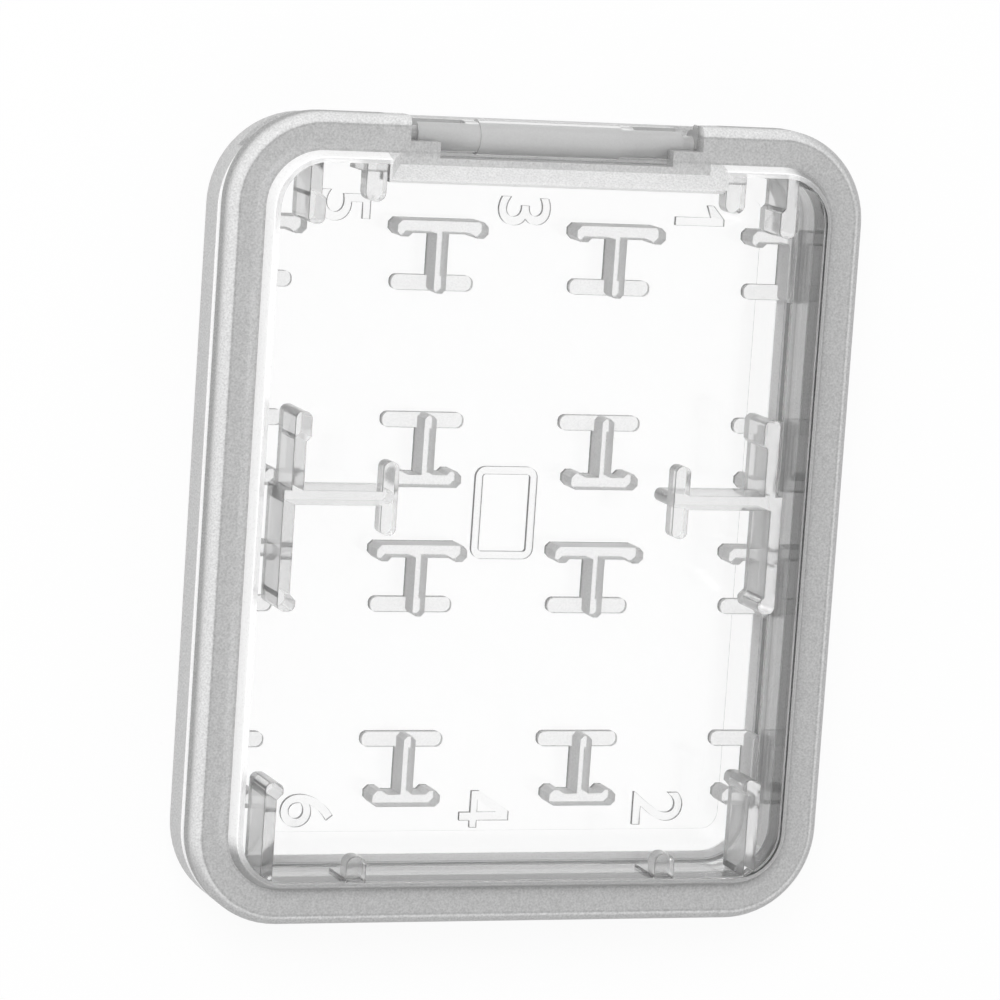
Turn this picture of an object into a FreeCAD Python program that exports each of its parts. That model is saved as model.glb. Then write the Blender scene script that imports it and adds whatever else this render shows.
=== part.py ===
import FreeCAD, Part
import math
import os

import Sketcher

# Memory card case: a clear clamshell of two mouldings, lying flat and closed.
# X runs across the case, +Y points to the hinge and +Z from the base up to the lid.
# Each body is drawn about the middle of the case and then shifted in Y by its placement,
# so that the origin lies under the middle of the whole part, thumb lip included.

# Driving dimensions in millimetres, angles in degrees, one row per size
SIZES = {
    # Outline of both halves
    "case_width": 42.8,
    "case_length": 51.8,
    "corner_round": 6.0,
    "rear_inset": 0.35,
    "edge_round": 0.6,
    # Raised windows on the front and on the back
    "rim_band": 2.34,
    "window_rise": 1.1,
    "window_run": 0.4,
    "window_bevel": 0.25,
    "panel_thick": 0.8,
    "inner_depth": 6.2,
    # Parting line, rebate of the base and plug wall of the lid
    "base_rim_height": 3.2,
    "reveal": 0.3,
    "reveal_bevel": 0.2,
    "wall_band": 2.9,
    "rebate_band": 2.2,
    "plug_gap": 0.2,
    "shelf_height": 1.3,
    "seat_gap": 0.05,
    "floor_bevel": 0.45,
    "land_width": 1.5,
    "land_height": 0.04,
    # Slots for small cards in the base
    "small_card_length": 15.0,
    "small_card_width": 11.0,
    "small_end_play": 0.52,
    "small_side_play": 0.36,
    "small_mid_gap": 3.76,
    "small_web_thick": 0.8,
    "small_flange_thick": 0.8,
    "small_top_flange": 6.1,
    "small_low_flange": 4.6,
    "small_post_height": 2.1,
    "small_rib_height": 0.55,
    "small_rib_length": 5.53,
    "small_rib_setback": 3.33,
    "small_grip_reach": 0.25,
    "small_grip_length": 1.0,
    "small_end_bevel": 0.3,
    "rib_width": 1.0,
    # Slots for the two large cards in the lid
    "stick_card_width": 31.0,
    "stick_card_length": 20.0,
    "large_card_width": 32.0,
    "large_card_length": 24.0,
    "lid_side_play": 0.3,
    "lid_end_play": 0.1,
    "lid_stop_pad": 0.2,
    "lid_web_thick": 0.9,
    "lid_flange_thick": 0.75,
    "lid_post_height": 3.6,
    "lid_rib_height": 1.3,
    "lid_rib_length": 4.7,
    "lid_rib_setback": 5.75,
    "stick_flange_reach": 5.0,
    "large_flange_reach": 6.8,
    "stick_corner_reach": 4.0,
    "large_corner_reach": 6.5,
    "stick_knob_reach": 0.3,
    "stick_knob_length": 1.9,
    "large_knob_reach": 0.4,
    "large_knob_length": 1.1,
    "knob_round": 0.45,
    "finger_width": 1.3,
    "stick_finger_place": 12.1,
    "stick_finger_reach": 2.5,
    "large_finger_place": 10.55,
    "large_finger_reach": 1.65,
    # Snap hinge at the rear
    "hinge_inset": 1.35,
    "barrel_radius": 1.0,
    "collar_step": 0.12,
    "collar_length": 9.6,
    "knuckle_length": 17.9,
    "notch_length": 19.7,
    "notch_mouth_length": 15.7,
    "notch_gap": 0.13,
    "tab_gap": 0.15,
    "tab_reach": 1.0,
    "pin_radius": 0.6,
    "pin_gap": 0.05,
    "pin_length": 4.0,
    "pin_end_gap": 0.15,
    "snap_width": 1.0,
    "ear_radius": 1.0,
    "ear_length": 1.6,
    "bridge_length": 22.6,
    "bridge_thick": 1.55,
    "strip_width": 0.45,
    "step_run": 0.85,
    "open_angle": 120,
    "stop_gap": 0.15,
    # Thumb lip and closing bead at the front
    "lip_length": 24.8,
    "lip_reach": 0.8,
    "lip_thick": 1.0,
    "lip_rise": 0.5,
    "lip_round": 0.8,
    "bead_reach": 0.1,
    "bead_height": 0.6,
    "bead_drop": 0.5,
    # How far every cut runs past the faces that it opens
    "overrun": 1.0,
}

# Rounded ends of ribs and bevelled noses of webs, as shares of their thickness
END_ROUND_SHARE = "0.45"
NOSE_BEVEL_SHARE = "0.3"

# Levels above the resting face
FLOOR = "Sizes.panel_thick"
SHELF = f"({FLOOR} + Sizes.shelf_height)"
BACK_RIM = "Sizes.window_rise"
BASE_RIM_TOP = f"({BACK_RIM} + Sizes.base_rim_height)"
LID_RIM_FOOT = f"({BASE_RIM_TOP} + Sizes.reveal)"
CEILING = f"({FLOOR} + Sizes.inner_depth)"
LID_TOP = f"({CEILING} + Sizes.panel_thick)"
FRONT_RIM = f"({LID_TOP} - Sizes.window_rise)"

# Places across the case
HALF_WIDTH = "(Sizes.case_width / 2)"
HALF_LENGTH = "(Sizes.case_length / 2)"
WALL_X = f"({HALF_WIDTH} - Sizes.wall_band)"
WALL_Y = f"({HALF_LENGTH} - Sizes.wall_band)"
PLUG_BAND = "(Sizes.rebate_band + Sizes.plug_gap)"
BURIED = f"((Sizes.wall_band - {PLUG_BAND}) / 4)"

# Hinge axis, its notch in the lid and the tab level above the barrel
HINGE_Y = f"({HALF_LENGTH} - Sizes.hinge_inset)"
HINGE_Z = f"({BASE_RIM_TOP} + Sizes.reveal / 2)"
COLLAR_RADIUS = "(Sizes.barrel_radius + Sizes.collar_step)"
NOTCH_WALL = f"({HINGE_Y} - {COLLAR_RADIUS} - Sizes.notch_gap)"
BRIDGE_FACE = f"({NOTCH_WALL} - Sizes.bridge_thick)"
TAB_FOOT = f"({HINGE_Z} + Sizes.barrel_radius + Sizes.tab_gap)"

# Slopes of the window's edges, and of the gentler step in front of the hinge
WINDOW_TAPER = "-atan(Sizes.window_run / Sizes.window_rise)"
STEP_TAPER = "-atan(Sizes.step_run / Sizes.window_rise)"


doc = FreeCAD.newDocument("card_case")
sheet = doc.addObject("Spreadsheet::Sheet", "Sizes")
for row, (alias, value) in enumerate(SIZES.items(), start=1):
    sheet.set(f"A{row}", alias)
    sheet.set(f"B{row}", str(value))
    sheet.setAlias(f"B{row}", alias)
doc.recompute()


def number(expression):
    """Present value of an expression over the sheet."""
    value = sheet.evalExpression(expression)
    return float(getattr(value, "Value", value))


def origin_part(body, role):
    """Origin plane or axis of a body, found by its role."""
    return next(part for part in body.Origin.OriginFeatures if part.Role == role)


def new_body(name):
    """Empty body whose placement brings the part's origin under its middle."""
    body = doc.addObject("PartDesign::Body", name)
    body.Label = name
    body.setExpression("Placement.Base.y", "Sizes.lip_reach / 2")
    return body


def new_sketch(body, name, role, level):
    """Sketch on one of the body's origin planes, raised to a level."""
    sketch = body.newObject("Sketcher::SketchObject", name)
    sketch.AttachmentSupport = [(origin_part(body, role), "")]
    sketch.MapMode = "FlatFace"
    sketch.setExpression("AttachmentOffset.Base.z", level)
    return sketch


def hold(kind, edge, end, expression):
    """Rule that keeps a point at a distance from the sketch origin, with its expression."""
    return Sketcher.Constraint(kind, -1, 1, edge, end, number(expression)), expression


def constrain(sketch, fixed, bound):
    """Add plain rules, and rules that are bound to the sheet, in one pass."""
    rules = fixed + [rule for rule, expression in bound]
    first = sketch.addConstraint(rules)[len(fixed)]
    for index, (rule, expression) in enumerate(bound, start=first):
        sketch.setExpression(f"Constraints[{index}]", expression)


def polygon(sketch, corners):
    """Closed outline of straight edges through corners given as expressions."""
    points = [FreeCAD.Vector(number(x), number(y), 0) for x, y in corners]
    first = sketch.GeometryCount
    count = len(corners)
    sketch.addGeometry([Part.LineSegment(points[i], points[(i + 1) % count]) for i in range(count)], False)
    joins = [Sketcher.Constraint("Coincident", first + i, 2, first + (i + 1) % count, 1) for i in range(count)]
    places = []
    for edge, (x, y) in enumerate(corners, start=first):
        places += [hold("DistanceX", edge, 1, x), hold("DistanceY", edge, 1, y)]
    constrain(sketch, joins, places)


def rectangle(sketch, left, right, low, high):
    """Square-cornered rectangle between two X and two Y places."""
    polygon(sketch, [(left, low), (right, low), (right, high), (left, high)])


def rounded_rectangle(sketch, left, right, low, high, radius):
    """Rectangle with four equal round corners: bottom, right, top, left, each followed by its arc."""
    x0, x1, y0, y1, r = (number(value) for value in (left, right, low, high, radius))
    quarter = math.pi / 2
    up = FreeCAD.Vector(0, 0, 1)
    runs = [
        ((x0 + r, y0), (x1 - r, y0), (x1 - r, y0 + r)),
        ((x1, y0 + r), (x1, y1 - r), (x1 - r, y1 - r)),
        ((x1 - r, y1), (x0 + r, y1), (x0 + r, y1 - r)),
        ((x0, y1 - r), (x0, y0 + r), (x0 + r, y0 + r)),
    ]
    first = sketch.GeometryCount
    shapes = []
    for turn, (start, end, centre) in enumerate(runs):
        shapes.append(Part.LineSegment(FreeCAD.Vector(*start, 0), FreeCAD.Vector(*end, 0)))
        circle = Part.Circle(FreeCAD.Vector(*centre, 0), up, r)
        shapes.append(Part.ArcOfCircle(circle, (turn - 1) * quarter, turn * quarter))
    sketch.addGeometry(shapes, False)
    count = len(shapes)
    bottom, right_side, top, left_side = range(first, first + count, 2)
    rules = [Sketcher.Constraint("Tangent", first + i, 2, first + (i + 1) % count, 1) for i in range(count)]
    rules += [Sketcher.Constraint("Horizontal", line) for line in (bottom, top)]
    rules += [Sketcher.Constraint("Vertical", line) for line in (right_side, left_side)]
    rules += [Sketcher.Constraint("Equal", bottom + 1, line + 1) for line in (right_side, top, left_side)]
    places = [
        (Sketcher.Constraint("Radius", bottom + 1, r), radius),
        hold("DistanceY", bottom, 1, low),
        hold("DistanceX", right_side, 1, right),
        hold("DistanceY", top, 1, high),
        hold("DistanceX", left_side, 1, left),
    ]
    constrain(sketch, rules, places)


def bar(sketch, left, right, low, high, thick):
    """Rib seen from above, with ends rounded by a share of its thickness."""
    rounded_rectangle(sketch, left, right, low, high, f"{thick} * {END_ROUND_SHARE}")


def opposite(way):
    """The other sign along an axis."""
    return "-" if way == "+" else "+"


def nosed_web(sketch, left, right, root, nose, way, thick):
    """Web seen from above, with a square root and a bevelled nose; way points from root to nose."""
    bevel = f"{thick} * {NOSE_BEVEL_SHARE}"
    shoulder = f"({nose} {opposite(way)} {bevel})"
    polygon(
        sketch,
        [
            (left, root),
            (right, root),
            (right, shoulder),
            (f"{right} - {bevel}", nose),
            (f"{left} + {bevel}", nose),
            (left, shoulder),
        ],
    )


def disc(sketch, across, up, radius):
    """Circle with its centre and radius bound to the sheet."""
    edge = sketch.GeometryCount
    centre = FreeCAD.Vector(number(across), number(up), 0)
    sketch.addGeometry(Part.Circle(centre, FreeCAD.Vector(0, 0, 1), number(radius)), False)
    size = (Sketcher.Constraint("Radius", edge, number(radius)), radius)
    constrain(sketch, [], [size, hold("DistanceX", edge, 3, across), hold("DistanceY", edge, 3, up)])


def band_outline(sketch, band, rear_trim="0"):
    """Rounded outline of the case drawn in by a band, with its rear edge trimmed if asked."""
    rounded_rectangle(
        sketch,
        f"{band} - {HALF_WIDTH}",
        f"{HALF_WIDTH} - {band}",
        f"{band} - {HALF_LENGTH}",
        f"{HALF_LENGTH} - {band} - {rear_trim}",
        f"Sizes.corner_round - {band}",
    )


def extrude(body, kind, sketch, length, reverse=False, both_ways=False, taper=None):
    """Pad or Pocket of a sketch, refused if it leaves the body's volume unchanged."""
    before = body.Shape.Volume if body.Tip else 0
    feature = body.newObject(f"PartDesign::{kind}", f"{sketch.Name}_{kind}")
    feature.Profile = sketch
    feature.setExpression("Length", length)
    feature.Reversed = reverse
    feature.SideType = "Symmetric" if both_ways else "One side"
    if taper:
        feature.setExpression("TaperAngle", taper)
    doc.recompute()
    grown = body.Shape.Volume - before
    if (grown if kind == "Pad" else -grown) <= 0:
        raise RuntimeError(f"{feature.Name} changed the volume by {grown:.4f}")
    return feature


def pad(body, sketch, length, **options):
    """Add material along the sketch's normal."""
    return extrude(body, "Pad", sketch, length, **options)


def pocket(body, sketch, length, **options):
    """Take material away, against the sketch's normal unless reversed."""
    return extrude(body, "Pocket", sketch, length, **options)


def break_edges(body, kind, name, edges, size):
    """Fillet or Chamfer of edges given by their numbers on the body's tip."""
    base = body.Tip
    feature = body.newObject(f"PartDesign::{kind}", name)
    feature.Base = (base, [f"Edge{index}" for index in edges])
    feature.setExpression("Radius" if kind == "Fillet" else "Size", size)
    doc.recompute()
    return feature


def break_level_edges(body, kind, name, level, size, band):
    """Break the closed loop of edges that lies on one level, within a band of the outline."""
    height = number(level)
    reach = number(f"{HALF_WIDTH} - {band}")
    tolerance = number("Sizes.seat_gap")
    edges = []
    for index, edge in enumerate(body.Tip.Shape.Edges, start=1):
        box = edge.BoundBox
        flat = abs(box.ZMin - height) < tolerance and abs(box.ZMax - height) < tolerance
        if flat and max(abs(box.XMin), abs(box.XMax)) <= reach + tolerance:
            edges.append(index)
    return break_edges(body, kind, name, edges, size)


def round_upright_edges(body, name, corners, radius):
    """Fillet the upright edges that stand at some corners or at their mirror images."""
    tolerance = number("Sizes.seat_gap")
    places = [(number(x), number(y)) for x, y in corners]
    edges = []
    for index, edge in enumerate(body.Tip.Shape.Edges, start=1):
        box = edge.BoundBox
        upright = max(box.XLength, box.YLength) < tolerance
        near = [math.hypot(abs(box.Center.x) - x, box.Center.y - y) < tolerance for x, y in places]
        if upright and any(near):
            edges.append(index)
    return break_edges(body, "Fillet", name, edges, radius)


def mirror_across(body, name, features):
    """Repeat features on the other side of the case's middle plane."""
    mirror = body.newObject("PartDesign::Mirrored", name)
    mirror.Originals = features
    mirror.MirrorPlane = (origin_part(body, "YZ_Plane"), [""])
    body.Tip = mirror
    doc.recompute()
    return mirror


def base_shell(body):
    """Rim, raised back window, card space with a sloped floor edge and a shallow land inside it."""
    rim = new_sketch(body, "base_rim", "XY_Plane", BACK_RIM)
    band_outline(rim, "0", rear_trim="Sizes.rear_inset")
    pad(body, rim, "Sizes.base_rim_height")
    break_level_edges(body, "Fillet", "base_rim_round", BACK_RIM, "Sizes.edge_round", "0")
    break_level_edges(body, "Chamfer", "base_reveal_bevel", BASE_RIM_TOP, "Sizes.reveal_bevel", "0")
    window = new_sketch(body, "base_window", "XY_Plane", BACK_RIM)
    band_outline(window, "Sizes.rim_band")
    pad(body, window, "Sizes.window_rise", reverse=True, taper=WINDOW_TAPER)
    break_level_edges(body, "Chamfer", "base_window_bevel", "0", "Sizes.window_bevel", "Sizes.rim_band")
    room = new_sketch(body, "base_room", "XY_Plane", BASE_RIM_TOP)
    band_outline(room, "Sizes.wall_band")
    pocket(body, room, f"{BASE_RIM_TOP} - {FLOOR}")
    break_level_edges(body, "Chamfer", "base_floor_bevel", FLOOR, "Sizes.floor_bevel", "Sizes.wall_band")
    land = new_sketch(body, "floor_land", "XY_Plane", FLOOR)
    floor_band = "Sizes.wall_band + Sizes.floor_bevel"
    band_outline(land, f"({floor_band} + Sizes.seat_gap)")
    band_outline(land, f"({floor_band} + Sizes.land_width)")
    pad(body, land, "Sizes.land_height")


def small_card_rows():
    """The four rows of posts: which way the slot lies, and the flange's slot face and length."""
    near = "(Sizes.small_mid_gap / 2 + Sizes.small_flange_thick)"
    far = f"({near} + Sizes.small_card_length + Sizes.small_end_play)"
    return [
        ("-", far, "Sizes.small_top_flange"),
        ("+", near, "Sizes.small_low_flange"),
        ("-", f"(-{near})", "Sizes.small_top_flange"),
        ("+", f"(-{far})", "Sizes.small_low_flange"),
    ]


def flange_end(end, inward, face, outer, way):
    """Free end of a small flange, from its slot face round to its outer face, with a grip and bevels."""
    bevel = "Sizes.small_end_bevel"
    tip = f"({face} {way} Sizes.small_grip_reach)"
    foot = f"{end} {inward} Sizes.small_grip_length"
    return [
        (foot, face),
        (f"{foot} {opposite(inward)} Sizes.small_grip_reach", tip),
        (f"{end} {inward} {bevel}", tip),
        (end, f"{tip} {opposite(way)} {bevel}"),
        (end, f"{outer} {way} {bevel}"),
        (f"{end} {inward} {bevel}", outer),
    ]


def base_posts(body):
    """I-shaped posts that part and grip the small cards, two columns drawn and then mirrored."""
    pitch = "(Sizes.small_card_width + Sizes.small_side_play + Sizes.small_web_thick)"
    columns = [(f"({pitch} / 2)", None), (f"({pitch} * 3 / 2)", f"({WALL_X} + {BURIED})")]
    names = ("small_web", "small_flange", "small_rib")
    webs, flanges, ribs = (new_sketch(body, name, "XY_Plane", FLOOR) for name in names)
    for middle, wall in columns:
        for way, face, flange_length in small_card_rows():
            rib = f"({face} {way} Sizes.small_rib_setback)"
            outer = f"({face} {opposite(way)} Sizes.small_flange_thick)"
            nosed_web(
                webs,
                f"{middle} - Sizes.small_web_thick / 2",
                wall or f"{middle} + Sizes.small_web_thick / 2",
                f"({face} {opposite(way)} Sizes.small_flange_thick / 2)",
                f"({rib} {way} Sizes.rib_width / 2)",
                way,
                "Sizes.small_web_thick",
            )
            left_end = flange_end(f"{middle} - {flange_length} / 2", "+", face, outer, way)
            right_end = [(wall, face), (wall, outer)]
            if not wall:
                right_end = flange_end(f"{middle} + {flange_length} / 2", "-", face, outer, way)
            polygon(flanges, left_end + right_end[::-1])
            bar(
                ribs,
                f"{middle} - Sizes.small_rib_length / 2",
                wall or f"{middle} + Sizes.small_rib_length / 2",
                f"{rib} - Sizes.rib_width / 2",
                f"{rib} + Sizes.rib_width / 2",
                "Sizes.rib_width",
            )
    tall = [pad(body, sketch, "Sizes.small_post_height") for sketch in (webs, flanges)]
    low = pad(body, ribs, "Sizes.small_rib_height")
    mirror_across(body, "small_posts", tall + [low])


def base_rebate(body):
    """Shelf and rebate all round, where the plug wall of the lid comes down."""
    ring = new_sketch(body, "rebate", "XY_Plane", BASE_RIM_TOP)
    band_outline(ring, "Sizes.rebate_band")
    band_outline(ring, "(Sizes.wall_band + Sizes.plug_gap)")
    pocket(body, ring, f"{BASE_RIM_TOP} - {SHELF}")


def base_hinge(body):
    """Sloped rear edge that stops the open lid, and the knuckle with two sockets that snap in from behind."""
    stop = "(Sizes.hinge_inset + Sizes.stop_gap)"
    foot_y = f"({HINGE_Y} + {stop} * cos(Sizes.open_angle))"
    foot_z = f"({HINGE_Z} - {stop} * sin(Sizes.open_angle))"
    rear = f"({HALF_LENGTH} + Sizes.overrun)"
    rear_z = f"({foot_z} + ({rear} - {foot_y}) / tan(Sizes.open_angle))"
    front = f"({HALF_LENGTH} - (Sizes.wall_band + Sizes.rebate_band) / 2)"
    above = f"({BASE_RIM_TOP} + Sizes.overrun)"
    slope = new_sketch(body, "rear_slope", "YZ_Plane", "0")
    polygon(slope, [(front, foot_z), (foot_y, foot_z), (rear, rear_z), (rear, above), (front, above)])
    pocket(body, slope, "Sizes.case_width + Sizes.overrun", both_ways=True)

    neck = new_sketch(body, "knuckle_neck", "YZ_Plane", "0")
    rectangle(
        neck,
        f"{HALF_LENGTH} - Sizes.rebate_band",
        f"{HALF_LENGTH} - Sizes.rear_inset",
        f"{BACK_RIM} + Sizes.edge_round",
        HINGE_Z,
    )
    pad(body, neck, "Sizes.knuckle_length", both_ways=True)
    barrel = new_sketch(body, "knuckle_barrel", "YZ_Plane", "0")
    disc(barrel, HINGE_Y, HINGE_Z, "Sizes.barrel_radius")
    pad(body, barrel, "Sizes.knuckle_length", both_ways=True)
    collar = new_sketch(body, "knuckle_collar", "YZ_Plane", "0")
    disc(collar, HINGE_Y, HINGE_Z, COLLAR_RADIUS)
    pad(body, collar, "Sizes.collar_length", both_ways=True)

    end = "(Sizes.knuckle_length / 2)"
    pin_tip = "(Sizes.notch_length / 2 - Sizes.pin_length)"
    depth = f"{end} - {pin_tip} + Sizes.pin_end_gap"
    socket = new_sketch(body, "pin_socket", "YZ_Plane", end)
    disc(socket, HINGE_Y, HINGE_Z, "(Sizes.pin_radius + Sizes.pin_gap)")
    snap = new_sketch(body, "snap_mouth", "YZ_Plane", end)
    rectangle(
        snap,
        HINGE_Y,
        f"{HINGE_Y} + {COLLAR_RADIUS} + Sizes.overrun",
        f"{HINGE_Z} - Sizes.snap_width / 2",
        f"{HINGE_Z} + Sizes.snap_width / 2",
    )
    cuts = [pocket(body, sketch, depth) for sketch in (socket, snap)]
    mirror_across(body, "pin_sockets", cuts)


def base_front(body):
    """Thumb lip outside and closing bead inside, both of the same length."""
    lip = new_sketch(body, "thumb_lip", "XY_Plane", f"{BACK_RIM} + Sizes.lip_rise")
    rounded_rectangle(
        lip,
        "-Sizes.lip_length / 2",
        "Sizes.lip_length / 2",
        f"-({HALF_LENGTH} + Sizes.lip_reach)",
        f"-({HALF_LENGTH} - Sizes.rebate_band / 2)",
        "Sizes.lip_round",
    )
    pad(body, lip, "Sizes.lip_thick")
    wall = f"(Sizes.rebate_band - {HALF_LENGTH})"
    middle = f"({BASE_RIM_TOP} - Sizes.bead_drop)"
    buried = f"{wall} - {BURIED}"
    crest = f"{wall} + Sizes.bead_reach"
    bead = new_sketch(body, "closing_bead", "YZ_Plane", "0")
    polygon(
        bead,
        [
            (buried, f"{middle} - Sizes.bead_height / 2"),
            (crest, f"{middle} - Sizes.bead_height / 4"),
            (crest, f"{middle} + Sizes.bead_height / 4"),
            (buried, f"{middle} + Sizes.bead_height / 2"),
        ],
    )
    pad(body, bead, "Sizes.lip_length", both_ways=True)


def make_base():
    """Back half of the case, with the small-card slots and the hinge knuckle."""
    body = new_body("base_tray")
    base_shell(body)
    base_posts(body)
    base_rebate(body)
    base_hinge(body)
    base_front(body)
    return body


def lid_shell(body):
    """Rim, raised front window, card space, and the plug wall that enters the base."""
    rim = new_sketch(body, "lid_rim", "XY_Plane", LID_RIM_FOOT)
    band_outline(rim, "0")
    pad(body, rim, f"{FRONT_RIM} - {LID_RIM_FOOT}")
    break_level_edges(body, "Fillet", "lid_rim_round", FRONT_RIM, "Sizes.edge_round", "0")
    break_level_edges(body, "Chamfer", "lid_reveal_bevel", LID_RIM_FOOT, "Sizes.reveal_bevel", "0")
    window = new_sketch(body, "lid_window", "XY_Plane", FRONT_RIM)
    band_outline(window, "Sizes.rim_band")
    pad(body, window, "Sizes.window_rise", taper=WINDOW_TAPER)
    break_level_edges(body, "Chamfer", "lid_window_bevel", LID_TOP, "Sizes.window_bevel", "Sizes.rim_band")
    room = new_sketch(body, "lid_room", "XY_Plane", LID_RIM_FOOT)
    band_outline(room, "Sizes.wall_band")
    pocket(body, room, f"{CEILING} - {LID_RIM_FOOT}", reverse=True)
    plug = new_sketch(body, "plug_wall", "XY_Plane", LID_RIM_FOOT)
    band_outline(plug, PLUG_BAND)
    band_outline(plug, "Sizes.wall_band")
    plug_depth = f"{LID_RIM_FOOT} - {SHELF} - Sizes.seat_gap"
    pad(body, plug, plug_depth, reverse=True)
    opening = new_sketch(body, "plug_opening", "XY_Plane", LID_RIM_FOOT)
    rectangle(opening, "-Sizes.bridge_length / 2", "Sizes.bridge_length / 2", BRIDGE_FACE, HALF_LENGTH)
    pocket(body, opening, plug_depth)


def lid_notch(body):
    """Bridge behind the hinge, stepped window edge, and the notch that the knuckle fills."""
    half_bridge = "Sizes.bridge_length / 2"
    bridge = new_sketch(body, "hinge_bridge", "XY_Plane", LID_RIM_FOOT)
    rectangle(bridge, f"-{half_bridge}", half_bridge, BRIDGE_FACE, f"{WALL_Y} + {BURIED}")
    pad(body, bridge, f"{CEILING} - {LID_RIM_FOOT}")
    step = new_sketch(body, "window_step", "XY_Plane", LID_TOP)
    step_edge = f"{NOTCH_WALL} - Sizes.strip_width - Sizes.step_run"
    rectangle(step, f"-{half_bridge}", half_bridge, step_edge, HALF_LENGTH)
    pocket(body, step, "Sizes.window_rise", taper=STEP_TAPER)
    half_notch = "(Sizes.notch_length / 2)"
    half_mouth = "(Sizes.notch_mouth_length / 2)"
    behind = f"({HALF_LENGTH} + Sizes.overrun)"
    under = new_sketch(body, "notch_under", "XY_Plane", LID_RIM_FOOT)
    rectangle(under, f"-{half_notch}", half_notch, NOTCH_WALL, behind)
    pocket(body, under, f"{TAB_FOOT} - {LID_RIM_FOOT}", reverse=True)
    tab_end = f"({NOTCH_WALL} + Sizes.tab_reach)"
    mouth = new_sketch(body, "notch_mouth", "XY_Plane", FRONT_RIM)
    polygon(
        mouth,
        [
            (f"-{half_mouth}", NOTCH_WALL),
            (half_mouth, NOTCH_WALL),
            (half_mouth, tab_end),
            (half_notch, tab_end),
            (half_notch, behind),
            (f"-{half_notch}", behind),
            (f"-{half_notch}", tab_end),
            (f"-{half_mouth}", tab_end),
        ],
    )
    pocket(body, mouth, f"{FRONT_RIM} - {TAB_FOOT}")


def lid_pins(body):
    """Ear and stub pin at one end of the notch."""
    end = "(Sizes.notch_length / 2)"
    ear = new_sketch(body, "hinge_ear", "YZ_Plane", end)
    disc(ear, HINGE_Y, HINGE_Z, "Sizes.ear_radius")
    pin = new_sketch(body, "hinge_pin", "YZ_Plane", end)
    disc(pin, HINGE_Y, HINGE_Z, "Sizes.pin_radius")
    return [pad(body, ear, "Sizes.ear_length"), pad(body, pin, "Sizes.pin_length", reverse=True)]


def knobbed_flange(sketch, card, face, root, tip, way):
    """Straight flange with a knob towards the card at its free end; gives the two corners of that end."""
    outer = f"({face} + Sizes.lid_flange_thick)"
    crest = f"({face} - Sizes.{card}_knob_reach)"
    knob_foot = f"({tip} {opposite(way)} Sizes.{card}_knob_length)"
    knob_slope = f"({knob_foot} {way} Sizes.{card}_knob_reach)"
    polygon(
        sketch,
        [(face, root), (outer, root), (outer, tip), (crest, tip), (crest, knob_slope), (face, knob_foot)],
    )
    return [(outer, tip), (crest, tip)]


def lid_posts(body):
    """Posts of the stick card above and the large card below, with the corners of their free ends."""
    stick_face = "((Sizes.stick_card_width + Sizes.lid_side_play) / 2)"
    large_face = "((Sizes.large_card_width + Sizes.lid_side_play) / 2)"
    low_stop = f"(Sizes.lid_stop_pad - {WALL_Y})"
    web_low = f"({low_stop} + Sizes.large_card_length + Sizes.lid_end_play)"
    web_high = f"({web_low} + Sizes.lid_web_thick)"
    web_middle = f"({web_low} + Sizes.lid_web_thick / 2)"
    high_stop = f"({web_high} + Sizes.stick_card_length + Sizes.lid_end_play)"
    rib = f"({stick_face} - Sizes.lid_rib_setback)"
    root = f"({WALL_Y} + {BURIED})"
    half_finger = "Sizes.finger_width / 2"
    stick_finger = (f"Sizes.stick_finger_place - {half_finger}", f"Sizes.stick_finger_place + {half_finger}")
    large_finger = (f"Sizes.large_finger_place - {half_finger}", f"Sizes.large_finger_place + {half_finger}")

    stops = new_sketch(body, "lid_web", "XY_Plane", CEILING)
    web_root = f"({stick_face} + Sizes.lid_flange_thick / 2)"
    bar(stops, f"{rib} - Sizes.rib_width / 2", web_root, web_low, web_high, "Sizes.lid_web_thick")
    rectangle(stops, *stick_finger, high_stop, root)
    rectangle(stops, *large_finger, f"-{root}", low_stop)

    stick = new_sketch(body, "stick_flange", "XY_Plane", CEILING)
    stick_tip = f"({web_high} + Sizes.stick_flange_reach)"
    stick_corner_tip = f"({WALL_Y} - Sizes.stick_corner_reach)"
    ends = knobbed_flange(stick, "stick", stick_face, web_low, stick_tip, "+")
    ends += knobbed_flange(stick, "stick", stick_face, root, stick_corner_tip, "-")
    large = new_sketch(body, "large_flange", "XY_Plane", CEILING)
    large_tip = f"({web_low} - Sizes.large_flange_reach)"
    large_corner_tip = f"(Sizes.large_corner_reach - {WALL_Y})"
    ends += knobbed_flange(large, "large", large_face, web_high, large_tip, "-")
    ends += knobbed_flange(large, "large", large_face, f"(-{root})", large_corner_tip, "+")

    ribs = new_sketch(body, "lid_rib", "XY_Plane", CEILING)
    bar(
        ribs,
        f"{rib} - Sizes.rib_width / 2",
        f"{rib} + Sizes.rib_width / 2",
        f"{web_middle} - Sizes.lid_rib_length / 2",
        f"{web_middle} + Sizes.lid_rib_length / 2",
        "Sizes.rib_width",
    )
    bar(ribs, *stick_finger, f"{WALL_Y} - Sizes.stick_finger_reach", root, "Sizes.finger_width")
    bar(ribs, *large_finger, f"-{root}", f"Sizes.large_finger_reach - {WALL_Y}", "Sizes.finger_width")
    tall = [pad(body, sketch, "Sizes.lid_post_height", reverse=True) for sketch in (stops, stick, large)]
    return tall + [pad(body, ribs, "Sizes.lid_rib_height", reverse=True)], ends


def make_lid():
    """Front half of the case, with the large-card slots and the hinge pins."""
    body = new_body("lid_cover")
    lid_shell(body)
    lid_notch(body)
    posts, knob_corners = lid_posts(body)
    mirror_across(body, "lid_pairs", lid_pins(body) + posts)
    round_upright_edges(body, "knob_rounds", knob_corners, "Sizes.knob_round")
    return body


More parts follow.
